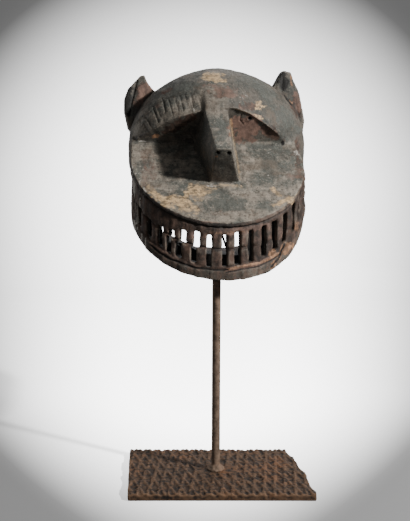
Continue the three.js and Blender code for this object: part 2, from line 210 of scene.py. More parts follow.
def convexity(mesh, rounds=2):
    """How much each point stands proud of its neighbours, as about -1 to 1."""
    points = smooth = points_of(mesh)
    edges = edges_of(mesh)
    for _ in range(rounds + 2):
        smooth = neighbour_mean(smooth, edges)
    proud = ((points - smooth) * normals_of(mesh)).sum(axis=1)
    for _ in range(rounds):
        proud = neighbour_mean(proud, edges)
    return np.clip(proud / (2.5 * proud.std() + 1e-9), -1, 1)


def attribute(mesh, name, values):
    layer = mesh.attributes.get(name) or mesh.attributes.new(name, "FLOAT", "POINT")
    layer.data.foreach_set("value", np.clip(values, -1, 1).astype(np.float32))


def applied(piece):
    """Bakes the piece's modifiers into its mesh."""
    graph = bpy.context.evaluated_depsgraph_get()
    mesh = bpy.data.meshes.new_from_object(piece.evaluated_get(graph))
    piece.modifiers.clear()
    piece.data = mesh
    return piece


def placed(name, data):
    """A new object in the scene, which shows a mesh, a lamp or a camera."""
    piece = bpy.data.objects.new(name, data)
    bpy.context.scene.collection.objects.link(piece)
    return piece


def copy_of(node, name):
    """A new object with its own copy of a node's mesh."""
    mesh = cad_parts[node].data.copy()
    mesh.materials.clear()
    mesh.name = name
    piece = placed(name, mesh)
    body = bmesh.new()
    body.from_mesh(mesh)
    bmesh.ops.remove_doubles(body, verts=body.verts, dist=1e-6)
    body.to_mesh(mesh)
    body.free()
    return piece


def remeshed(piece, voxel):
    grid = piece.modifiers.new("grid", "REMESH")
    grid.mode = "VOXEL"
    grid.voxel_size = voxel
    return applied(piece)


def thinned(piece, most):
    """Keeps the piece under a number of triangles."""
    triangles = sum(len(face.vertices) - 2 for face in piece.data.polygons)
    if triangles > most:
        fewer = piece.modifiers.new("fewer", "DECIMATE")
        fewer.ratio = most / triangles
        applied(piece)
    return piece


def cut_away(piece, cutter):
    cut = piece.modifiers.new("cut", "BOOLEAN")
    cut.operation = "DIFFERENCE"
    cut.solver = "EXACT"
    cut.object = cutter
    applied(piece)
    bpy.data.objects.remove(cutter)
    return piece


def object_of(name, body):
    mesh = bpy.data.meshes.new(name)
    body.to_mesh(mesh)
    body.free()
    return placed(name, mesh)


def within(points, node):
    """The points, none of them outside a node's box."""
    low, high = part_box(node)
    return np.clip(points, np.array(low), np.array(high))


def smooth_shaded(piece, material):
    mesh = piece.data
    mesh.materials.clear()
    mesh.materials.append(material)
    mesh.polygons.foreach_set("use_smooth", np.ones(len(mesh.polygons), bool))
    mesh.update()


# Places on the mask

def rod_axis():
    low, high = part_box("stand_rod")
    return np.array([(low.x + high.x) / 2, (low.y + high.y) / 2])


def to_mask(points):
    """Frame metres to the carved block's millimetres."""
    place = points * TO_MM - np.array([*(rod_axis() * TO_MM), 0]) - np.array(MASK_FROM_ROD)
    c, s = math.cos(MASK_TURN), math.sin(MASK_TURN)
    x, y, z = place.T
    return np.stack([c * x + s * y, -s * x + c * y, z], axis=1)


def eye_point():
    return np.array([*(rod_axis() + EYE_FROM_ROD), EYE_HEIGHT])


def picture_middle():
    """The pixel that the eye point looks straight at."""
    return PICTURE[0] / 2 - SHIFT[0] * PICTURE[1], PICTURE[1] / 2 + SHIFT[1] * PICTURE[1]


def in_picture(points):
    """Where frame points stand in the picture, in its pixels."""
    offset = points - eye_point()
    ahead = offset[:, 1] * math.cos(PITCH) - offset[:, 2] * math.sin(PITCH)
    up = offset[:, 1] * math.sin(PITCH) + offset[:, 2] * math.cos(PITCH)
    across, down = picture_middle()
    return np.stack([
        across + FOCAL_PIXELS * offset[:, 0] / ahead,
        down - FOCAL_PIXELS * up / ahead,
    ], axis=1)


def seen_at(piece, pixel):
    """Where a pixel of the picture meets a piece, in metres, and the way out of its surface there."""
    across, down = picture_middle()
    right, up = (pixel[0] - across) / FOCAL_PIXELS, (down - pixel[1]) / FOCAL_PIXELS
    ahead = Vector((right, math.cos(PITCH) + up * math.sin(PITCH), up * math.cos(PITCH) - math.sin(PITCH)))
    bpy.context.view_layer.update()
    met, place, outward, _ = piece.ray_cast(Vector(eye_point()), ahead.normalized())
    if not met:
        raise RuntimeError(f"{piece.name} isn't met at pixel {pixel}")
    return place, outward


def drop_of(place):
    """Height above the cheek's plane, negative under it."""
    return place[:, 2] - (CHEEK_HEIGHT + CHEEK_SLOPE * place[:, 1])


def ellipse_reach(place):
    """1 on the lip's outline seen from above, less inside it."""
    forward = np.minimum(place[:, 1] - LIP_REACH, 0) / LIP_REACH
    return np.hypot(place[:, 0] / LIP_HALF_WIDTH, forward)


def spots(pixels, rows, grain):
    """A mask of soft-edged patches: each row is a centre, two half sizes, a turn in degrees and a
    strength. The grain breaks up their edges."""
    total = np.zeros(len(pixels))
    for u, v, wide, high, turn, strength in rows:
        c, s = math.cos(math.radians(turn)), math.sin(math.radians(turn))
        du, dv = pixels[:, 0] - u, pixels[:, 1] - v
        far = np.hypot((du * c + dv * s) / wide, (-du * s + dv * c) / high)
        total = np.maximum(total, strength * (1 - ramp(far + 0.45 * grain, 0.55, 1.15)))
    return total


def strokes(pixels, rows):
    """A mask of thin strokes that taper to both ends: each row is a start, an end, a half width and
    a strength."""
    total = np.zeros(len(pixels))
    for u, v, to_u, to_v, half, strength in rows:
        axis = np.array([to_u - u, to_v - v], float)
        offset = pixels - np.array([u, v])
        share = np.clip(offset @ axis / (axis @ axis), 0, 1)
        far = np.linalg.norm(offset - share[:, None] * axis, axis=1)
        taper = 0.6 + 0.4 * np.sin(math.pi * share)
        total = np.maximum(total, strength * (1 - ramp(far / (half * taper), 0.3, 1.1)))
    return total


def along(line, half, strength):
    """Rows of strokes that follow a line of the picture."""
    return tuple((*a, *b, half, strength) for a, b in zip(line, line[1:]))


def between(pixels, top, foot):
    """1 between two lines of the picture that run from left to right, falling off sharply at both."""
    across, down = pixels[:, 0], pixels[:, 1]
    under = ramp(down - np.interp(across, *np.array(top).T), -0.4, 0.9)
    over = 1 - ramp(down - np.interp(across, *np.array(foot).T), -0.6, 0.8)
    ends = ramp(across, top[0][0] - 1, top[0][0] + 1) * (1 - ramp(across, top[-1][0] - 1, top[-1][0] + 1))
    return under * over * ends


# Holes, as a pixel of the picture, a radius and a depth in millimetres
HOLES = (
    (218, 152.8, 2.5, 16),
    (229, 153.2, 2.5, 16),
    (249.9, 118.6, 2.3, 20),
    (282.4, 142.5, 1.9, 14),
)
# The split in the jaw and the one at the foot of the right ear, along pixels of the picture
JAW_SPLIT = ((284.6, 243), (283.4, 247), (280.8, 251.5), (278.8, 258.5), (274, 263.6), (271.4, 267.6))
EAR_SPLIT = ((284.2, 95.2), (288, 100.4), (292, 106))

# Where the jaw's rail starts under the teeth: a groove on the left, a red ridge on the right
GUM_GROOVE = (
    (150.5, 245), (160.7, 253), (171, 260.3), (185, 264.4), (195.7, 267.4), (211.6, 269.3), (229, 269.3),
)
GUM_RIDGE = ((226, 269.6), (243.5, 265.8), (259.5, 262.9), (272.5, 257.5), (279, 253))

# The facet along the left brow, between two lines of the picture
FACET_TOP = ((131.9, 126.6), (141.5, 117), (155.8, 104.2), (171.8, 96.3), (197, 87.5), (203, 86))
FACET_FOOT = ((131.9, 138.5), (155.8, 128.1), (171.8, 118.6), (189.3, 113.8), (204.5, 110.6))

# Where the nose runs softly into the forehead and the brow: centre and half sizes in pixels
NOSE_ROOT = ((218, 104, 15, 8), (200.5, 95, 9, 10))

# Cuts of the tool, deeper than the rest: start, end and half width in pixels, and millimetres of depth
TOOL_CUTS = (
    (162.4, 98.5, 165.4, 112, 1.3, 1.0),
    (152.6, 106.5, 157.8, 122, 1.3, 1.1),
    (144.6, 116, 152.3, 128.5, 1.3, 1.0),
    (142.6, 123, 147.6, 131.5, 1.1, 0.7),
    (156.2, 105, 160.2, 117, 1.1, 0.5),
    (168.2, 99, 172.6, 114, 1.2, 0.8),
    (174.6, 97, 178.4, 112, 1.1, 0.5),
    (179.7, 95.5, 183.4, 111, 1.2, 0.8),
    (184.4, 93.5, 188.2, 108.5, 1.1, 0.6),
    (190.0, 92.5, 193.6, 108.5, 1.1, 0.6),
    (196.0, 90.5, 202.6, 109.5, 0.9, 0.25),
    (139.6, 120, 143.6, 131, 1.1, 0.5),
    (137.2, 80.5, 131.2, 105, 1.5, 2.2),
    (131.2, 105, 129.6, 117, 1.3, 1.6),
    (241.5, 114.5, 239.8, 120, 1.1, 0.9),
    (239.8, 120, 244.2, 125.2, 1.1, 0.9),
    (244.2, 125.2, 248.6, 121.6, 1.1, 0.7),
    (277, 80, 275, 90, 1.2, 0.7),
    (283, 77, 282, 92, 1.2, 0.7),
    (296, 104, 300.5, 122, 1.2, 0.8),
)

# Patches that can be seen in the picture: centre and half sizes in pixels, turn and strength
PATCHES = {
    "bare": (
        (213, 76, 12, 4.6, 0, 1.0), (219, 80.5, 8, 2.6, 0, 0.9), (206, 79, 6, 2.2, 10, 0.7),
        (259.5, 102, 4.2, 1.9, 0, 0.9), (261, 105.4, 4.6, 1.9, 10, 0.85), (259, 108.6, 3.6, 1.6, 0, 0.8),
        (163, 200, 15, 5, 32, 0.9), (178, 201, 17, 6, 6, 0.75), (196, 192, 12, 9, 0, 0.7),
        (188, 208, 14, 5, 12, 0.6), (150, 189, 9, 5, 50, 0.45), (210, 190, 9, 5, 0, 0.4),
        (171, 199, 7, 3, 20, 1.0), (186, 196, 6, 3, -30, 0.95),
        (274, 191, 6, 3.2, 45, 0.8), (281, 203, 7, 3.0, -20, 0.8), (290, 200, 5.5, 4.4, 20, 0.85),
        (279, 195, 3.2, 2.4, 0, 0.6), (259, 117, 5, 1.3, 28, 0.8), (238, 186, 5, 2, 0, 0.4),
        (229, 186, 16, 3, 0, 0.35),
    ),
    "orange": (
        (273, 254, 6.4, 5.0, -30, 1.0), (288, 245.6, 6.0, 5.4, 10, 1.0), (284.6, 251, 3.4, 4.4, 0, 0.9),
        (231.0, 127, 2.6, 15, -4, 0.7), (156, 136, 5, 2.6, -20, 0.8), (290.4, 102, 3.4, 1.6, 50, 0.7),
        (291, 80, 1.6, 9, -8, 0.8), (216.4, 157, 1.6, 1.6, 0, 0.7), (272, 263, 5, 1.6, -38, 0.6),
        (296, 226, 3, 5, 0, 0.5), (228, 233, 24, 2.2, -2, 0.5), (262, 230, 12, 2.0, -16, 0.4),
    ),
    "red": (
        (146, 89, 7, 12, 20, 0.55), (226, 92, 24, 8, 14, 0.42), (297, 100, 4, 12, -16, 0.5),
        (150, 172, 12, 12, 0, 0.35), (292, 176, 9, 8, 0, 0.35),
        (246, 127, 18, 15, 0, 1.0), (236, 232, 22, 3.4, -2, 0.95), (258, 228, 16, 3.0, -12, 0.9),
        (200, 236, 28, 5, 6, 0.4), (250, 240, 30, 6, -8, 0.45), (276, 234, 10, 8, -30, 0.5),
        (241, 228, 46, 2.2, -6, 0.4), (157, 107, 3, 5, -60, 0.35), (214, 222.6, 16, 1.5, 2, 0.5),
    ),
    "warm": (
        (270, 132, 16, 8, 34, 0.6), (180, 124, 22, 6, -26, 0.9), (222, 92, 18, 8, 0, 0.5),
        (249, 106, 12, 6, 8, 0.6), (166, 91, 11, 2.6, -27, 0.7), (145, 90, 8, 13, 18, 0.8),
        (138, 104, 7, 10, 0, 0.5), (299, 172, 5, 18, 0, 0.5), (226, 212, 52, 6, 4, 0.3),
        (296, 106, 6, 14, -14, 0.7), (243, 170, 9, 22, 8, 0.3), (148, 158, 10, 16, 0, 0.4),
        (148, 182, 10, 12, 20, 0.4), (296, 152, 7, 6, 50, 0.5),
    ),
    "green": (
        (224, 204, 24, 9, 0, 0.9), (264, 208, 12, 6, -10, 0.6), (183, 88, 18, 5, -16, 0.7),
        (256, 84, 26, 6, 24, 0.6), (268, 95, 14, 8, 30, 0.6), (284, 116, 14, 12, 40, 0.7),
        (298, 129, 6, 4, 20, 0.8), (222, 130, 6, 20, -5, 0.8), (258, 146, 22, 4, 4, 0.6),
        (172, 112, 26, 7, -22, 0.4), (288, 82, 5, 12, 0, 0.6), (270, 168, 14, 14, 0, 0.4),
        (190, 170, 16, 12, 0, 0.4),
    ),
    "chalk": (
        (141, 141, 6, 1.1, 0, 0.9), (194, 110, 1.2, 2.6, -25, 0.9), (164, 121, 1.8, 1.2, 0, 0.8),
        (212, 185.5, 9, 2.0, 0, 0.6), (247, 95, 2.4, 1.6, 0, 0.6), (240, 97, 6, 1.6, 30, 0.5),
        (220.5, 145.5, 1.5, 1, 0, 0.8), (223.5, 143, 1, 1, 0, 0.8), (268.5, 152.5, 1.2, 1, 0, 0.8),
        (275.7, 156, 1.3, 0.9, 0, 0.7), (268, 175, 1.1, 1, 0, 0.7), (237, 183, 4, 1.6, 20, 0.5),
        (238, 103, 5, 4, 0, 0.4), (297, 153, 5, 3.4, 40, 0.6), (231, 154, 1.2, 2.4, 0, 0.5),
    ),
    # Painted shade in these dark rows: inside the nostrils, the slit and the burnt hole, a band along the
    # right brow's lower edge, the nose's end and a patch in the left socket
    "dark": (
        (218, 152.6, 1.9, 1.9, 0, 1.0), (229, 153.0, 1.9, 1.9, 0, 1.0), (249.9, 118.6, 2.2, 2.2, 0, 1.0),
        (282.4, 142.5, 1.6, 2.6, 0, 1.0), (270, 125, 10, 1.6, 38, 0.6),
        (128.5, 100, 4.6, 24, 4, 0.85), (283.5, 82, 7.0, 14, -6, 0.9), (223, 169, 10, 12, 0, 0.2),
        (188, 128, 20, 10, -20, 0.45),
        (178, 95.6, 12, 1.4, -14, 0.5), (287, 99.6, 2.6, 1.3, 52, 0.9),
    ),
}
# Lines that can be seen in it: start, end and half width in pixels, and strength. The dark ones are the
# tool's cuts, darker the deeper they are, as painted shade in their grooves, and the streaks on the nose's
# end.
LINES = {
    "bare": (
        # The first stroke is a painted highlight on the nose's right flank, which faces the hard light
        (230.4, 120, 240, 180, 1.9, 0.6), (234, 108.6, 255, 114.6, 0.7, 0.5),
        (134.5, 181, 163, 205.5, 0.8, 0.5), (163, 205.5, 208, 221.5, 0.7, 0.45),
        (282, 209, 299, 192, 0.8, 0.6),
    ),
    "orange": (
        (284.2, 243, 278.8, 258.5, 3.2, 0.8), (278.8, 258.5, 271, 269, 2.8, 0.75),
        *along(GUM_RIDGE, 2.1, 0.72),
    ),
    "chalk": (
        # All chalk strokes but the first are painted highlights: the lit strip of cheek under the nose's end,
        # the lit rim of the left edge and the lit edge of the nose's right flank
        (198.6, 90, 204.6, 109.6, 0.7, 0.5), (212, 181.6, 238, 181.2, 0.6, 0.4),
        (129.6, 126, 129.8, 150, 1.0, 0.5), (231.6, 150, 238.8, 181, 0.8, 0.5),
    ),
    "dark": (
        *((*line, min(deep / 2.4, 0.6)) for *line, deep in TOOL_CUTS),
        *((u, 155, u + 0.6, 179, 0.9, 0.45) for u in (213.5, 218.6, 222.4, 227.2, 232.6)),
    ),
}
SPLIT_SHADE = along(JAW_SPLIT, 1.7, 1.0) + along(EAR_SPLIT, 1.2, 1.0)

# How far the finer forms stand out or lie in, and how wide one facet of the jaw is, in millimetres
RELIEF = {
    "waves": 0.5, "fine": 0.24, "teeth": 0.75, "brow facet": 1.5, "lip groove": 2.2, "bite": 2.0,
    "gum groove": 2.4, "gum ridge": 1.3, "ridge edge": 1.2, "jaw facets": 0.7,
}
JAW_FACET = 21.0


# Carving

def hole(piece, pixel, radius, deep):
    """A tapered peg of the size of a drilled or burnt hole, sunk where a pixel of the picture meets the
    piece."""
    taper, sunk = 0.8, 0.35
    place, outward = seen_at(piece, pixel)
    body = bmesh.new()
    bmesh.ops.create_cone(
        body, cap_ends=True, segments=14, radius1=radius * taper * MM, radius2=radius * MM, depth=deep * MM
    )
    turn = Vector((0, 0, 1)).rotation_difference(outward)
    body.transform(Matrix.Translation(place - outward * deep * MM * sunk) @ turn.to_matrix().to_4x4())
    return object_of("hole", body)


def cleft(piece, pixels, wide, deep):
    """A jagged wedge along pixels of the picture. It stands proud of the surface by some millimetres,
    and is narrow inside and pointed at both ends."""
    proud, narrow, pointed = 5, 0.6, 0.5
    body = bmesh.new()
    met = [seen_at(piece, pixel) for pixel in pixels]
    inward = -np.mean([outward for _, outward in met], axis=0)
    inward /= np.linalg.norm(inward)
    line = np.array([place for place, _ in met]) * TO_MM
    rings = []
    for i, at in enumerate(line):
        ahead = line[min(i + 1, len(line) - 1)] - line[max(i - 1, 0)]
        side = np.cross(ahead, inward)
        side /= np.linalg.norm(side)
        half = side * wide * (pointed if i in (0, len(line) - 1) else 1.0) / 2
        corners = [
            at + half - inward * proud, at - half - inward * proud,
            at - half * narrow + inward * deep, at + half * narrow + inward * deep,
        ]
        rings.append([body.verts.new(corner * MM) for corner in corners])
    for near, far in zip(rings, rings[1:]):
        for i in range(4):
            body.faces.new((near[i], near[(i + 1) % 4], far[(i + 1) % 4], far[i]))
    body.faces.new(rings[0][::-1])
    body.faces.new(rings[-1])
    bmesh.ops.recalc_face_normals(body, faces=body.faces)
    return object_of("cleft", body)


def cut_details(piece):
    """Nostrils, burnt holes and the two splits in the wood."""
    cutters = [hole(piece, (u, v), radius, deep) for u, v, radius, deep in HOLES]
    cutters += [cleft(piece, JAW_SPLIT, 3.4, 10), cleft(piece, EAR_SPLIT, 2.2, 4)]
    for cutter in cutters:
        cut_away(piece, cutter)


def zones(points):
    """Where points lie on the mask: its own millimetres, height over the cheek's plane, how far out
    they are, and the share that they have in the outer wall of the mouth."""
    place = to_mask(points)
    drop = drop_of(place)
    reach = ellipse_reach(place)
    outer = ramp(reach, *WALL_REACH) * (1 - ramp(place[:, 1], *WALL_BACK))
    return place, drop, reach, outer


def facing_eye(points, normals):
    """1 where the surface looks at the eye point, 0 where it looks away, and 0 on the inside."""
    sight = points - eye_point()
    sight /= np.linalg.norm(sight, axis=1)[:, None]
    place, drop, reach, _ = zones(points)
    inside = (1 - ramp(drop, *TEETH_TOP)) * (1 - ramp(reach, *HIDDEN_REACH))
    facing = ramp(-(normals * sight).sum(axis=1), -0.05, 0.2)
    return facing * (1 - inside) * (1 - ramp(place[:, 1], *HIDDEN_BACK))


def wandering(pixels, place):
    """The pixels, shifted a little from place to place, so that a line runs as if cut by hand."""
    return pixels + np.stack([noise(place, 14, 81), noise(place, 14, 82)], axis=1) * 0.9


def lip_groove(place, drop, share, half):
    """The groove under the lip, all the way round."""
    return share * bump_at(drop, LIP_GROOVE + 0.8 * noise(place, 20, 9), half)


def bite_line(place, drop, share, half):
    """Where the two rows of teeth meet, fading out on the right."""
    return share * bump_at(drop, BITE + 1.2 * noise(place, 18, 3), half) * (1 - ramp(place[:, 0], 34, 44))


def carve(piece, wood):
    """Turns the evenly gridded block into an old carving: hand-cut edges, tool marks and wear."""
    mesh = piece.data
    points = points_of(mesh)
    edges = edges_of(mesh)
    place, drop, reach, _ = zones(points)
    back = place[:, 1]
    band = ramp(reach, *TEETH_REACH) * (1 - ramp(back, *TEETH_BACK))
    teeth = band * ramp(drop, *TEETH_FOOT) * (1 - ramp(drop, *TEETH_TOP))
    points = relax(points, edges, np.maximum(0.55, teeth), 2)
    temple = np.prod([bump_at(axis, *span) for axis, span in zip(place.T, TEMPLE)], axis=0)
    points = relax(points, edges, np.minimum(temple * 3, 1), TEMPLE_ROUNDS)
    pixels = in_picture(points)
    front = (back < 100) & (drop > 20)
    for u, v, wide, high in NOSE_ROOT:
        root = np.hypot((pixels[:, 0] - u) / wide, (pixels[:, 1] - v) / high)
        points = relax(points, edges, (1 - ramp(root, 0.6, 1.2)) * front, NOSE_ROUNDS)
    move_points(mesh, points)

    normals = normals_of(mesh)
    place, drop, reach, outer = zones(points)
    pixels = in_picture(points)
    seen = facing_eye(points, normals)
    shifted = wandering(pixels, place)
    crisp = ramp(reach, 0.88, 0.95) * ramp(drop, -9, -7)
    lift = RELIEF["waves"] * rough(place, 34, 3, 11) * (1 - 0.5 * teeth) * (1 - 0.6 * crisp)
    bowls = scoops(place * np.array([1, 0.8, 0.6]), 13, 5) - 0.3
    lift -= wood.tool_depth * TO_MM * bowls * (1 - teeth) * (1 - 0.85 * crisp)
    lift += RELIEF["fine"] * rough(place, 4.5, 3, 23)
    lift += teeth * (RELIEF["teeth"] + 0.9 * rough(place * np.array([1, 1, 0.45]), 7, 2, 31))
    brow = between(pixels, FACET_TOP, FACET_FOOT) * (1 - ramp(pixels[:, 0], 182, 200))
    lift -= RELIEF["brow facet"] * seen * brow
    lift -= lip_groove(place, drop, RELIEF["lip groove"] * outer, 2.8)
    lift -= bite_line(place, drop, RELIEF["bite"] * outer, 2.0)
    lift -= outer * strokes(shifted, along(GUM_GROOVE, 1.7, RELIEF["gum groove"]))
    lift += outer * strokes(shifted, along(GUM_RIDGE, 2.2, RELIEF["gum ridge"]))
    lift -= outer * strokes(shifted + np.array([0, -2.8]), along(GUM_RIDGE, 1.3, RELIEF["ridge edge"]))
    facet = np.mod(place[:, 0] + 3 * noise(place, 60, 4), JAW_FACET) / JAW_FACET
    lift -= RELIEF["jaw facets"] * outer * ramp(-drop, -JAW_TOP, -JAW_TOP + 3) * (facet - 0.5)
    lift -= seen * strokes(pixels, TOOL_CUTS)
    move_points(mesh, within(points + normals * (lift * MM)[:, None], "mask"))


def paint(piece):
    """Stores where the carving is bare, warm, pale or worn, and where it is darkened, partly soot and partly
    painted shade, as values on its points.
    """
    mesh = piece.data
    points = points_of(mesh)
    normals = normals_of(mesh)
    place, drop, reach, outer = zones(points)
    x, y, z = place.T
    pixels = in_picture(points)
    seen = facing_eye(points, normals)
    grain = rough(place, 5.5, 3, 41)
    right = ramp(x, 0, 50)
    shifted = wandering(pixels, place)
    masks = {name: spots(pixels, rows, grain) * seen for name, rows in PATCHES.items()}

    def add(name, values):
        masks[name] = np.maximum(masks[name], values)

    for name, rows in LINES.items():
        add(name, strokes(pixels, rows) * seen)

    # The left cheek's wall and the brow's facet
    # Pale bars on the left wall of the mouth: partly whitish crust, partly painted highlight on the edges of
    # the side teeth
    slats = noise(place * np.array([1, 1, 0.1]), 2.5, 77) * outer * ramp(-x, 90, 108)
    add("chalk", 0.9 * ramp(slats, 0.05, 0.5))
    facet = between(pixels, FACET_TOP, FACET_FOOT) * seen
    rim = between(pixels, *([(u, v - up) for u, v in FACET_TOP] for up in (6, 0.6))) * seen
    masks["green"] *= 1 - 0.7 * facet
    masks["warm"] *= 1 - 0.5 * facet
    masks["warm"] *= 1 - 0.5 * rim

    # The lip, the mouth and the jaw, with painted shade under the lip, on the left of the gum, the lip and
    # the jaw, and over the teeth
    lip = outer * ramp(drop, -8, -7) * (1 - ramp(drop, -1.6, -0.4))
    mouth = outer * (1 - ramp(drop, -7, -5.5))
    jaw = outer * ramp(-drop, -JAW_TOP - 1, -JAW_TOP + 1)
    gum = mouth * ramp(drop, -16, -13)
    gum_edge = outer * strokes(shifted, along(GUM_RIDGE, 2.6, 1.0))
    add("warm", np.maximum(mouth * (1 - 0.5 * jaw), 0.9 * lip))
    add("red", gum_edge)
    shaded = np.maximum(0.46 * gum * (1 - right), 0.2 * jaw * ramp(-x, 20, 60))
    teeth_shade = 0.26 + 0.17 * right + 0.25 * grain * (1 - gum)
    shaded = np.maximum(shaded, mouth * (1 - jaw) * teeth_shade) * (1 - 0.9 * gum_edge)
    add("dark", shaded)
    add("dark", lip * (0.7 - 0.45 * right))
    # Painted shade in the grooves under the lip, where the teeth meet, under the gum's edge and above its
    # ridge
    add("dark", lip_groove(place, drop, outer, 2.6))
    add("dark", bite_line(place, drop, outer, 2.2))
    add("dark", outer * strokes(shifted, along(GUM_GROOVE, 1.6, 1.0)))
    add("dark", outer * strokes(shifted + np.array([0, -2.6]), along(GUM_RIDGE, 1.0, 0.8)))

    # Splits and holes, darkened inside as painted shade
    add("dark", strokes(pixels, SPLIT_SHADE) * (y < 150) * (reach > 0.8))
    pits = spots(pixels, [(u, v, wide, wide, 0, 1.0) for u, v, wide, _ in HOLES], 0)
    add("dark", pits * ((drop > 0) & (y < 112)))

    # The inside: painted shade, nearly black, behind the mouth; brown where the hollow's wall faces its
    # middle
    add("dark", (1 - ramp(drop, -14, -9)) * (1 - ramp(reach, 0.86, 0.93)) * (1 - ramp(y, 120, 165)))
    outward = to_mask(points + normals * MM) - place
    spoke = place - np.array(HOLLOW_MIDDLE)
    inner = 1 - ramp((outward * spoke).sum(axis=1) / np.linalg.norm(spoke, axis=1), -0.35, 0.05)
    inner *= (1 - seen) * ramp(y, 20, 40)
    add("warm", 0.75 * inner)
    add("orange", 0.35 * inner * ramp(grain, -0.3, 0.9))

    # The paler skin of the cheek, the nose and the right eye's lid
    cheek = ramp(drop, -2.5, -0.8) * (1 - ramp(drop, 1.5, 4)) * (1 - ramp(y, 103, 106))
    nose = bump_at(x + 5, 0, 22) * ramp(drop, 60, 80) * (1 - ramp(y, 100, 110))
    lid = (drop > 1.5) & (y < 104) & (z > 440) & (x > 12) & (x < 104)
    lid = lid * (1 - ramp(z, 464, 467.5)) * (1 - ramp(reach, 0.9, 0.95))
    masks["pale"] = np.maximum.reduce([cheek, nose, 0.8 * lid, 0.95 * jaw * right, 0.5 * rim, 0.8 * facet])
    masks["proud"] = convexity(mesh)
    for name, values in masks.items():
        attribute(mesh, name, values)


# Materials

# How deep the finest relief of a material can be, in metres
BUMP_DEPTH = 0.0008


def feed(tree, socket, value):
    """Gives a socket a value, or links another socket to it."""
    if isinstance(value, bpy.types.NodeSocket):
        tree.links.new(value, socket)
    else:
        socket.default_value = value


def shader_node(tree, kind, given=None, **settings):
    """A node with its settings; given maps a socket's name or number to a value or another socket."""
    made = tree.nodes.new(kind)
    for name, value in settings.items():
        setattr(made, name, value)
    for name, value in (given or {}).items():
        feed(tree, made.inputs[name], value)
    return made


def mixed(tree, factor, first, second):
    """Two colours mixed by a factor."""
    made = shader_node(tree, "ShaderNodeMix", data_type="RGBA")
    for name, value in (("Factor", factor), ("A", first), ("B", second)):
        feed(tree, next(socket for socket in made.inputs if socket.name == name and socket.enabled), value)
    return next(socket for socket in made.outputs if socket.enabled)


def value_of(tree, operation, *values):
    return shader_node(tree, "ShaderNodeMath", dict(enumerate(values)), operation=operation).outputs[0]


def linear(tree, value, slope, start):
    return value_of(tree, "MULTIPLY_ADD", value, slope, start)


def shared(tree, share, mask):
    return value_of(tree, "MULTIPLY", mask, share)


def stepped(tree, value, low, high):
    """0 below low, 1 above high."""
    given = {"Value": value, "From Min": low, "From Max": high}
    return shader_node(tree, "ShaderNodeMapRange", given, interpolation_type="SMOOTHSTEP").outputs["Result"]


def stored(tree, name):
    return shader_node(tree, "ShaderNodeAttribute", attribute_name=name).outputs["Fac"]


def stretched(tree, factors):
    """The point in the frame, with its axes squeezed by factors."""
    given = {0: tree.nodes.new("ShaderNodeTexCoord").outputs["Object"], 1: factors}
    return shader_node(tree, "ShaderNodeVectorMath", given, operation="MULTIPLY").outputs["Vector"]


def texture_noise(tree, factors, scale, detail, roughness):
    """Noise whose axes are squeezed by factors, so that it is finest where a factor is large."""
    given = {"Vector": stretched(tree, factors), "Scale": scale, "Detail": detail, "Roughness": roughness}
    return shader_node(tree, "ShaderNodeTexNoise", given).outputs["Fac"]


def new_group(name, inputs, outputs):
    """An empty node group. Inputs maps each socket's name to its default, a number or a colour."""
    group = bpy.data.node_groups.new(name, "ShaderNodeTree")
    for label, default in inputs.items():
        kind = "NodeSocketFloat" if isinstance(default, float) else "NodeSocketColor"
        made = group.interface.new_socket(label, in_out="INPUT", socket_type=kind)
        made.default_value = default
    for label in outputs:
        kind = "NodeSocketColor" if label == "Color" else "NodeSocketFloat"
        group.interface.new_socket(label, in_out="OUTPUT", socket_type=kind)
    return group, group.nodes.new("NodeGroupInput").outputs, group.nodes.new("NodeGroupOutput").inputs


def put_out(group, out, **values):
    """Links each value to the group's output of that name."""
    for label, value in values.items():
        group.links.new(value, out[label])
    return group


def grain_group(name):
    """Fine upright fibres and short dry cracks in old wood."""
    group, given, out = new_group(name, {"Fibres": 1.0, "Dry Cracks": 1.0}, ("Lines", "Height"))
    fibres = texture_noise(group, (1.0, 0.6, 0.09), 900, 5, 0.7)
    coarse = texture_noise(group, (1.0, 0.6, 0.16), 190, 4, 0.6)
    lines = shared(group, 0.5, value_of(group, "ADD", fibres, coarse))
    cracks = value_of(group, "SUBTRACT", 1.0, stepped(group, coarse, 0.3, 0.38))
    deep = shared(group, given["Dry Cracks"], cracks)
    height = value_of(group, "SUBTRACT", shared(group, given["Fibres"], lines), deep)
    return put_out(group, out, Lines=lines, Height=height)


def patina_group(name):
    """Two tones broken up in cloudy patches, with finer dirt and specks in them."""
    group, given, out = new_group(name, {
        "Tone": (0.1, 0.1, 0.1, 1), "Second Tone": (0.2, 0.2, 0.2, 1),
        "Dirt": (0.02, 0.02, 0.02, 1), "Dirt Share": 0.5,
        "Specks": (0.3, 0.3, 0.3, 1), "Speck Share": 0.5,
    }, ("Color", "Cloud", "Fine"))
    cloud = texture_noise(group, (1, 1, 1), 30, 8, 0.68)
    fine = texture_noise(group, (1, 1, 0.7), 230, 6, 0.75)
    dots = texture_noise(group, (0.8, 1, 1.3), 390, 3, 0.8)
    tone = mixed(group, stepped(group, cloud, 0.42, 0.58), given["Tone"], given["Second Tone"])
    dirt = shared(group, given["Dirt Share"], stepped(group, fine, 0.48, 0.66))
    specks = shared(group, given["Speck Share"], stepped(group, dots, 0.56, 0.68))
    colour = mixed(group, specks, mixed(group, dirt, tone, given["Dirt"]), given["Specks"])
    return put_out(group, out, Color=colour, Cloud=cloud, Fine=value_of(group, "SUBTRACT", dots, fine))


def edge_wear_group(name):
    """Where proud edges are rubbed through: the stored convexity broken up by noise."""
    group, given, out = new_group(name, {"Proud": 0.0, "Low": 0.3, "High": 0.9}, ("Mask",))
    shift = linear(group, texture_noise(group, (1, 1, 1), 120, 4, 0.6), 0.9, -0.45)
    broken = value_of(group, "ADD", given["Proud"], shift)
    return put_out(group, out, Mask=stepped(group, broken, given["Low"], given["High"]))


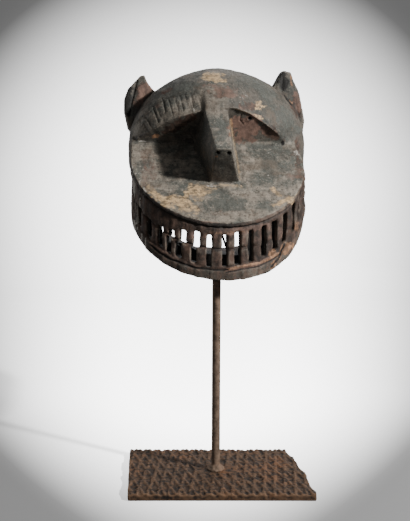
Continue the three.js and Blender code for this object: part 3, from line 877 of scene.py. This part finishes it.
def rust_group(name):
    """Brown rust in two tones with orange blooms and pits."""
    group, given, out = new_group(name, {
        "Rust": (0.1, 0.05, 0.03, 1), "Bloom": (0.3, 0.1, 0.04, 1),
        "Dark": (0.02, 0.015, 0.012, 1), "Bloom Share": 0.5,
    }, ("Color", "Height", "Roughness"))
    large = texture_noise(group, (1, 1, 1), 18, 5, 0.6)
    middle = texture_noise(group, (1, 1, 1), 95, 6, 0.7)
    fine = texture_noise(group, (1, 1, 1), 700, 4, 0.7)
    base = mixed(group, stepped(group, middle, 0.35, 0.62), given["Dark"], given["Rust"])
    bloom = shared(group, stepped(group, middle, 0.4, 0.6), stepped(group, large, 0.48, 0.68))
    bloom = shared(group, given["Bloom Share"], bloom)
    return put_out(
        group, out,
        Color=mixed(group, bloom, base, given["Bloom"]),
        Height=value_of(group, "ADD", shared(group, 0.6, middle), shared(group, 0.4, fine)),
        Roughness=linear(group, large, 0.2, 0.68),
    )


EFFECTS = {
    "Old Grain": grain_group,
    "Handled Patina": patina_group,
    "Rubbed Edges": edge_wear_group,
    "Brown Rust": rust_group,
}


def effect(tree, name, given):
    """One of the effects that materials share, built once and placed here with its own values."""
    group = bpy.data.node_groups.get(name) or EFFECTS[name](name)
    return shader_node(tree, "ShaderNodeGroup", given, node_tree=group).outputs


def new_material(name):
    material = bpy.data.materials.new(name)
    material.use_nodes = True
    tree = material.node_tree
    return material, tree, tree.nodes["Principled BSDF"]


def shade(colour, factor):
    """A property's colour made lighter or darker, with full opacity."""
    return (colour[0] * factor, colour[1] * factor, colour[2] * factor, 1.0)


def two_toned(tree, breakup, low, high, colour, dark, light):
    """A colour that noise makes darker and lighter."""
    return mixed(tree, stepped(tree, breakup, low, high), shade(colour, dark), shade(colour, light))


def ragged(tree, name, breakup, spread, low, high):
    """A stored mask whose edge and middle are broken up by noise."""
    shift = linear(tree, breakup, spread, -spread / 2)
    return stepped(tree, value_of(tree, "ADD", stored(tree, name), shift), low, high)


def faded(tree, mask, most):
    """The share that a layer has where a mask is 0, falling to nothing where it is 1."""
    return linear(tree, mask, -most, most)


def rubbed(tree, colour, low, high, share, bright):
    """The colour with its proud edges rubbed bright."""
    mask = effect(tree, "Rubbed Edges", {"Proud": stored(tree, "proud"), "Low": low, "High": high})["Mask"]
    return mixed(tree, shared(tree, share, mask), colour, bright)


def soiled(tree, colour, low, high, share, dirt):
    """The colour with dirt in its hollows."""
    hollow = stepped(tree, shared(tree, -1.0, stored(tree, "proud")), low, high)
    return mixed(tree, shared(tree, share, hollow), colour, dirt)


def finished(tree, shader, colour, roughness, height, bump):
    """Feeds the shader its colour, its roughness and its finest relief."""
    feed(tree, shader.inputs["Base Color"], colour)
    feed(tree, shader.inputs["Roughness"], roughness)
    relief = shader_node(tree, "ShaderNodeBump", {"Strength": bump, "Distance": BUMP_DEPTH, "Height": height})
    feed(tree, shader.inputs["Normal"], relief.outputs["Normal"])


def wood_material(colours):
    material, tree, shader = new_material("Carved Wood")
    grain = effect(tree, "Old Grain", {"Fibres": 0.7, "Dry Cracks": 0.35})
    skin = effect(tree, "Handled Patina", {
        "Tone": shade(colours.green, 0.75), "Second Tone": shade(colours.skin, 1.12),
        "Dirt": shade(colours.soot_and_shade, 1.6), "Dirt Share": 0.7,
        "Specks": shade(colours.plane, 1.5), "Speck Share": 0.6,
    })
    plane = effect(tree, "Handled Patina", {
        "Tone": shade(colours.green, 1.2), "Second Tone": shade(colours.plane, 1.62),
        "Dirt": shade(colours.skin, 0.4), "Dirt Share": 0.8,
        "Specks": shade(colours.plane, 2.4), "Speck Share": 0.65,
    })
    fine = texture_noise(tree, (1, 1, 1), 420, 4, 0.7)
    middle = texture_noise(tree, (1, 1, 0.8), 120, 5, 0.65)
    streaks = texture_noise(tree, (0.45, 0.8, 1), 640, 5, 0.72)
    flecks = texture_noise(tree, (0.55, 1, 1), 250, 6, 0.72)
    lines = stepped(tree, grain["Lines"], 0.35, 0.65)
    brushed = stepped(tree, texture_noise(tree, (0.1, 1, 1), 330, 4, 0.7), 0.38, 0.62)
    stains = stepped(tree, texture_noise(tree, (0.7, 1, 1), 42, 5, 0.6), 0.5, 0.68)
    smudges = stepped(tree, texture_noise(tree, (0.8, 1, 1), 62, 6, 0.66), 0.5, 0.66)
    warm = two_toned(tree, middle, 0.38, 0.64, colours.warm, 0.45, 1.55)
    red = two_toned(tree, middle, 0.35, 0.7, colours.red, 0.7, 1.3)
    bare = two_toned(tree, flecks, 0.38, 0.62, colours.bare, 0.45, 1.75)
    green = two_toned(tree, fine, 0.35, 0.65, colours.green, 0.7, 1.3)
    orange = two_toned(tree, middle, 0.4, 0.6, colours.orange, 0.55, 1.4)
    colour = skin["Color"]
    for mask, over in (
        (stored(tree, "pale"), plane["Color"]),
        (faded(tree, brushed, 0.26), shade(colours.soot_and_shade, 2)),
        (shared(tree, 0.6, stains), shade(colours.stain, 1)),
        (shared(tree, 0.5, smudges), shade(colours.skin, 0.5)),
        (shared(tree, 0.85, ragged(tree, "green", middle, 0.9, 0.25, 0.8)), green),
        (shared(tree, 0.9, ragged(tree, "warm", middle, 0.7, 0.2, 0.7)), warm),
        (shared(tree, 0.9, ragged(tree, "red", middle, 0.5, 0.2, 0.65)), red),
        (faded(tree, lines, 0.35), shade(colours.soot_and_shade, 1.2)),
        (shared(tree, 0.85, ragged(tree, "orange", streaks, 1.3, 0.3, 0.75)), orange),
        (shared(tree, 0.94, ragged(tree, "bare", flecks, 1.5, 0.12, 0.95)), bare),
        (ragged(tree, "chalk", fine, 1.5, 0.5, 0.7), shade(colours.chalk, 1)),
    ):
        colour = mixed(tree, mask, colour, over)
    colour = rubbed(tree, colour, 0.6, 1.15, 0.34, shade(colours.plane, 1.6))
    colour = soiled(tree, colour, 0.25, 0.9, 0.65, shade(colours.soot_and_shade, 1))
    # Painted shade, mostly: the stored dark mask turns the colour nearly to soot in holes, grooves, the
    # mouth, the hollow, under the lip and the right brow and in the left socket
    colour = mixed(tree, ragged(tree, "dark", fine, 0.3, 0.1, 0.95), colour, shade(colours.soot_and_shade, 0.4))
    gloss = linear(tree, skin["Cloud"], -0.2, 0.78)
    height = value_of(tree, "ADD", grain["Height"], skin["Fine"])
    finished(tree, shader, colour, gloss, height, 0.7)
    shader.inputs["Specular IOR Level"].default_value = 0.35
    return material


def iron_material(name, colours, rust, deep, blooms, metal, bump):
    """Rusty iron: rust and deep are its own brown and the darkest tone in it, blooms the fresh share."""
    material, tree, shader = new_material(name)
    film = effect(tree, "Brown Rust", {
        "Rust": shade(rust, 1), "Bloom": shade(colours.bloom, 1), "Dark": deep, "Bloom Share": blooms,
    })
    colour = rubbed(tree, film["Color"], 0.15, 0.9, 0.55, shade(rust, 2.0))
    colour = soiled(tree, colour, 0.1, 0.8, 0.75, shade(colours.dark, 1))
    finished(tree, shader, colour, film["Roughness"], film["Height"], bump)
    shader.inputs["Metallic"].default_value = metal
    shader.inputs["Specular IOR Level"].default_value = 0.3
    return material


# Settings

def colour_property(name, description, default):
    return FloatVectorProperty(
        name=name, description=description, default=default, size=3, min=0, max=1, subtype="COLOR"
    )


def number_property(name, description, default, unit="NONE"):
    return FloatProperty(name=name, description=description, default=default, unit=unit)


class CarvingSettings(bpy.types.PropertyGroup):
    voxel: number_property("Grid", "Size of the grid the block is carved on", 0.0013, "LENGTH")
    tool_depth: number_property("Tool depth", "Depth of the adze's shallow cuts", 0.0007, "LENGTH")
    triangles: IntProperty(
        name="Triangles", description="Most triangles the finished mask keeps", default=190000
    )
    skin: colour_property("Skin", "Dark grey skin of the head", (0.103, 0.092, 0.077))
    plane: colour_property("Cheek", "Paler skin of the cheek and the nose", (0.196, 0.170, 0.138))
    stain: colour_property("Stain", "Brown stains all over the skin", (0.130, 0.098, 0.072))
    green: colour_property("Green grey", "Cooler, greener places of the skin", (0.083, 0.088, 0.077))
    warm: colour_property("Brown", "Wood of the mouth, the ears and the sockets", (0.072, 0.041, 0.029))
    red: colour_property("Red", "Reddish wood of the gums and the right socket", (0.196, 0.118, 0.091))
    orange: colour_property("Orange", "Fresh orange-brown wood along splits", (0.29, 0.155, 0.084))
    bare: colour_property("Bare wood", "Yellow wood where the skin is rubbed away", (0.34, 0.235, 0.128))
    chalk: colour_property("Chalk", "Whitish crusts and specks", (0.34, 0.315, 0.28))
    # Soot colours real dirt in grain, streaks and hollows, and also the painted shade of the dark mask
    soot_and_shade: colour_property("Soot", "Dirt in cracks and hollows", (0.014, 0.012, 0.010))


class IronSettings(bpy.types.PropertyGroup):
    voxel: number_property("Grid", "Size of the grid the plate is weathered on", 0.0012, "LENGTH")
    rod_voxel: number_property("Rod grid", "Size of the grid the rod is weathered on", 0.0009, "LENGTH")
    pitting: number_property("Pitting", "Depth of the rust's pits", 0.0009, "LENGTH")
    triangles: IntProperty(
        name="Triangles", description="Most triangles the finished plate keeps", default=170000
    )
    rust: colour_property("Rust", "Brown rust of the plate", (0.090, 0.051, 0.029))
    film: colour_property("Film", "Thin brown film on the rod", (0.190, 0.132, 0.094))
    bloom: colour_property("Bloom", "Orange blooms of fresh rust", (0.150, 0.068, 0.032))
    dark: colour_property("Dark", "Darkest scale", (0.016, 0.012, 0.010))


class StudioSettings(bpy.types.PropertyGroup):
    key_power: number_property("Key", "Power of the hard light", 54.0, "POWER")
    key_size: number_property("Key size", "Width of the hard light", 0.14, "LENGTH")
    back_power: number_property("Back", "Power of the soft light behind", 12.0, "POWER")
    back_size: number_property("Back size", "Width of the soft light", 1.0, "LENGTH")
    side_power: number_property("Side", "Power of the light behind on the left", 7.0, "POWER")
    side_size: number_property("Side size", "Width of the light behind on the left", 0.7, "LENGTH")
    rear_power: number_property("Rear", "Power of the light on the hollow", 5.0, "POWER")
    rear_size: number_property("Rear size", "Width of the light on the hollow", 1.2, "LENGTH")
    floor_power: number_property("Floor", "Power of the hard light on the floor alone", 210.0, "POWER")
    room: number_property("Room", "Strength of the soft light all round", 0.19)
    glow: number_property("Glow", "Strength of the backdrop's own glow", 4.0)
    ground: colour_property("Ground", "Pale floor and backdrop", (0.78, 0.78, 0.78))


def settings():
    return bpy.context.scene.mask_settings, bpy.context.scene.iron_settings, bpy.context.scene.studio_settings


# Pieces

class MASK_OT_carve(bpy.types.Operator):
    """Carve and weather the wooden mask"""
    bl_idname = "mask.carve"
    bl_label = "Carve the mask"

    def execute(self, context):
        wood, _, _ = settings()
        piece = copy_of("mask", "carved_mask")
        cut_details(piece)
        remeshed(piece, wood.voxel)
        carve(piece, wood)
        thinned(piece, wood.triangles)
        paint(piece)
        smooth_shaded(piece, wood_material(wood))
        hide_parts("mask")
        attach(piece, "root")
        return {"FINISHED"}


class MASK_OT_plate(bpy.types.Operator):
    """Roughen the rusted tread plate"""
    bl_idname = "mask.plate"
    bl_label = "Weather the plate"

    def execute(self, context):
        _, iron, _ = settings()
        piece = remeshed(copy_of("base_plate", "tread_plate"), iron.voxel)
        mesh = piece.data
        points = softened(mesh)
        move_points(mesh, points)
        normals = normals_of(mesh)
        place = points * TO_MM
        lift = rough(place, 6, 3, 51) * 0.5 - ramp(rough(place, 9, 2, 57), 0.3, 0.9)
        free = ramp(place[:, 2], 0.3, 2.5)
        points = points + normals * (lift * free * iron.pitting)[:, None]
        move_points(mesh, within(points, "base_plate"))
        thinned(piece, iron.triangles)
        attribute(piece.data, "proud", convexity(piece.data, 1))
        deep = shade(iron.dark, 0.8)
        material = iron_material("Rusted Tread", iron, iron.rust, deep, blooms=0.75, metal=0.0, bump=0.9)
        smooth_shaded(piece, material)
        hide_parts("base_plate")
        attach(piece, "root")
        return {"FINISHED"}


class MASK_OT_rod(bpy.types.Operator):
    """Weather the rod and its weld bead"""
    bl_idname = "mask.rod"
    bl_label = "Weather the rod"

    def widened(self, points):
        """Gives the shaft back the width that the grid and the smoothing took from it."""
        _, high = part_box("stand_rod")
        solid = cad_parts["stand_rod"].data
        shaft = np.array([point.co for point in solid.vertices if point.co.z > 0.5 * high.z])
        axis = rod_axis()
        wanted = np.linalg.norm(shaft[:, :2] - axis, axis=1).max()
        apart = points[:, :2] - axis
        middle = (points[:, 2] > 0.2 * high.z) & (points[:, 2] < 0.9 * high.z)
        found = np.percentile(np.linalg.norm(apart[middle], axis=1), 90)
        spread = 1 + (wanted / found - 1) * ramp(points[:, 2], 0.03, 0.05)
        points[:, :2] = axis + apart * spread[:, None]
        return points

    def execute(self, context):
        _, iron, _ = settings()
        piece = remeshed(copy_of("stand_rod", "iron_rod"), iron.rod_voxel)
        mesh = piece.data
        points = self.widened(softened(mesh))
        move_points(mesh, points)
        place = points * TO_MM
        bead = 1 - ramp(place[:, 2], 15, 19)
        lift = 0.05 * rough(place, 5, 3, 61) + bead * 0.8 * rough(place, 4, 2, 63)
        points = points + normals_of(mesh) * (lift * MM)[:, None]
        move_points(mesh, within(points, "stand_rod"))
        deep = shade(iron.film, 0.4)
        material = iron_material("Rod Iron", iron, iron.film, deep, blooms=0.4, metal=0.1, bump=0.2)
        smooth_shaded(piece, material)
        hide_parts("stand_rod")
        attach(piece, "root")
        return {"FINISHED"}


class MASK_OT_wire(bpy.types.Operator):
    """Finish the thin wire behind the teeth"""
    bl_idname = "mask.wire"
    bl_label = "Finish the wire"

    def execute(self, context):
        _, iron, _ = settings()
        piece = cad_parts["cradle_wire"]
        deep = shade(iron.dark, 0.5)
        material = iron_material("Wire Iron", iron, iron.dark, deep, blooms=0.15, metal=0.5, bump=0.1)
        for place in piece.material_slots:
            place.material = material
        return {"FINISHED"}


class MASK_OT_studio(bpy.types.Operator):
    """Set the floor, the backdrop, the lights and the camera"""
    bl_idname = "mask.studio"
    bl_label = "Set up the studio"

    def execute(self, context):
        _, _, studio = settings()
        make_ground(studio)
        make_lights(studio)
        make_room(studio)
        make_camera()
        return {"FINISHED"}


# The floor's front and back edges, the bend up to the backdrop, its top and half the width, in metres
GROUND = {"front": -4.0, "back": 1.5, "bend": 0.9, "steps": 14, "top": 3.2, "half": 4.0}
# The pool of light on the ground: its middle and half width, and the falls in front and above, each a
# slope over the distance and a value at the frame's origin, then the least width and the soft edge
POOL_MIDDLE = (0.06, -0.02)
POOL_WIDTH = (0.365, 0.34)
POOL_BEFORE = (-1.42, 0.59)
POOL_ABOVE = (0.87, -0.174)
POOL_LEAST = 0.2
POOL_EDGE = (0.22, 1.06)
# Where the lights aim and stand, in metres, the way the hard light travels, and how bright the room
# looks from the camera
AIM_HEIGHT = 0.42
KEY_TRAVEL = (-1, 0.66, -0.55)
KEY_AWAY = 1.7
BACK_PLACE = (0.1, 0.95, 1.75)
REAR_PLACE = (0.7, 1.7, 0.75)
SIDE_PLACE = (-1.6, 0.75, 0.7)
ROOM_SEEN = 0.8


def make_ground(studio):
    """A floor that curves up into a backdrop."""
    body = bmesh.new()
    back, bend, half = GROUND["back"], GROUND["bend"], GROUND["half"]
    profile = [(GROUND["front"], 0.0), (back, 0.0)]
    for i in range(1, GROUND["steps"] + 1):
        angle = math.pi / 2 * i / GROUND["steps"]
        profile.append((back + bend * math.sin(angle), bend * (1 - math.cos(angle))))
    profile.append((back + bend, GROUND["top"]))
    rows = [[body.verts.new((x, y, z)) for x in (-half, half)] for y, z in profile]
    for near, far in zip(rows, rows[1:]):
        face = body.faces.new((near[0], near[1], far[1], far[0]))
        face.smooth = True
    ground = object_of("studio_floor", body)
    ground.data.materials.append(ground_material(studio))
    ground.visible_diffuse = False
    ground.visible_glossy = False


def ground_material(studio):
    """Pale and plain, with a pool of light that widens and brightens towards the back."""
    material, tree, shader = new_material("Pale Ground")
    where = shader_node(tree, "ShaderNodeSeparateXYZ", {"Vector": stretched(tree, (1, 1, 1))}).outputs

    def sloped(axis, line, least):
        return value_of(tree, "MAXIMUM", linear(tree, where[axis], *line), least)

    aside = value_of(tree, "SUBTRACT", where["X"], linear(tree, where["Y"], *POOL_MIDDLE))
    aside = value_of(tree, "DIVIDE", aside, sloped("Y", POOL_WIDTH, POOL_LEAST))
    sides = (aside, sloped("Y", POOL_BEFORE, 0.0), sloped("Z", POOL_ABOVE, 0.0))
    squares = [value_of(tree, "MULTIPLY", side, side) for side in sides]
    total = value_of(tree, "ADD", value_of(tree, "ADD", squares[0], squares[1]), squares[2])
    pool = value_of(tree, "SUBTRACT", 1.0, stepped(tree, value_of(tree, "SQRT", total), *POOL_EDGE))
    base = mixed(tree, pool, shade(studio.ground, 0.04), shade(studio.ground, 1.0))
    feed(tree, shader.inputs["Base Color"], base)
    shader.inputs["Roughness"].default_value = 0.95
    behind = stepped(tree, shared(tree, -1.0, where["Y"]), 0.2, 1.1)
    beside = stepped(tree, value_of(tree, "ABSOLUTE", where["X"]), 1.1, 2.4)
    rest = linear(tree, value_of(tree, "MAXIMUM", behind, beside), 0.2, 0.02)
    glow = mixed(tree, value_of(tree, "MAXIMUM", pool, rest), (0, 0, 0, 1), (1, 1, 1, 1))
    feed(tree, shader.inputs["Emission Color"], glow)
    shader.inputs["Emission Strength"].default_value = studio.glow
    return material


def area_light(name, power, size, place, target):
    lamp = bpy.data.lights.new(name, "AREA")
    lamp.energy = power
    lamp.size = size
    light = placed(name, lamp)
    light.location = place
    light.rotation_euler = (target - place).to_track_quat("-Z", "Y").to_euler()
    light.visible_camera = False
    return light


def make_lights(studio):
    target = Vector((*rod_axis(), AIM_HEIGHT))
    hard_place = target - Vector(KEY_TRAVEL).normalized() * KEY_AWAY
    key = area_light("key_light", studio.key_power, studio.key_size, hard_place, target)
    key.data.color = (1.0, 0.985, 0.96)
    area_light("back_light", studio.back_power, studio.back_size, Vector(BACK_PLACE), target)
    area_light("rear_light", studio.rear_power, studio.rear_size, Vector(REAR_PLACE), target)
    on_floor = area_light("floor_light", studio.floor_power, studio.key_size / 2, hard_place, target)
    receivers = bpy.data.collections.new("lit_floor")
    receivers.objects.link(bpy.data.objects["studio_floor"])
    on_floor.light_linking.receiver_collection = receivers
    area_light("side_light", studio.side_power, studio.side_size, Vector(SIDE_PLACE), target)


def make_room(studio):
    """Soft light all round, which the camera alone sees brighter."""
    world = bpy.context.scene.world or bpy.data.worlds.new("Room Light")
    bpy.context.scene.world = world
    world.use_nodes = True
    tree = world.node_tree
    seen = tree.nodes.new("ShaderNodeLightPath").outputs["Is Camera Ray"]
    strength = linear(tree, seen, ROOM_SEEN - studio.room, studio.room)
    background = tree.nodes["Background"]
    background.inputs["Color"].default_value = (1.0, 1.0, 1.0, 1)
    feed(tree, background.inputs["Strength"], strength)


def make_camera():
    data = bpy.data.cameras.new("camera")
    data.sensor_fit = "AUTO"
    data.sensor_width = SENSOR
    data.lens = SENSOR * FOCAL_PIXELS / max(PICTURE)
    data.shift_x, data.shift_y = SHIFT
    data.clip_start = 0.05
    camera = placed("camera", data)
    camera.location = Vector(eye_point())
    camera.rotation_euler = (math.pi / 2 - PITCH, 0, 0)
    bpy.context.scene.camera = camera


STEPS = (MASK_OT_studio, MASK_OT_carve, MASK_OT_plate, MASK_OT_rod, MASK_OT_wire)


class MASK_PT_panel(bpy.types.Panel):
    """Lists the steps that build the mask, and their sizes and colours"""
    bl_idname = "MASK_PT_panel"
    bl_label = "Hyena Mask"
    bl_space_type = "VIEW_3D"
    bl_region_type = "UI"
    bl_category = "Mask"

    def draw(self, context):
        for step in STEPS:
            self.layout.operator(step.bl_idname)
        for group in settings():
            box = self.layout.box()
            for name in group.bl_rna.properties.keys():
                if name not in ("rna_type", "name"):
                    box.prop(group, name)


CLASSES = (CarvingSettings, IronSettings, StudioSettings, *STEPS, MASK_PT_panel)


def register():
    for made in CLASSES:
        bpy.utils.register_class(made)
    bpy.types.Scene.mask_settings = PointerProperty(type=CarvingSettings)
    bpy.types.Scene.iron_settings = PointerProperty(type=IronSettings)
    bpy.types.Scene.studio_settings = PointerProperty(type=StudioSettings)


def unregister():
    del bpy.types.Scene.studio_settings
    del bpy.types.Scene.iron_settings
    del bpy.types.Scene.mask_settings
    for made in reversed(CLASSES):
        bpy.utils.unregister_class(made)


def main():
    register()
    bpy.ops.mask.studio()
    bpy.ops.mask.carve()
    bpy.ops.mask.plate()
    bpy.ops.mask.rod()
    bpy.ops.mask.wire()


if __name__ == "__main__":
    main()
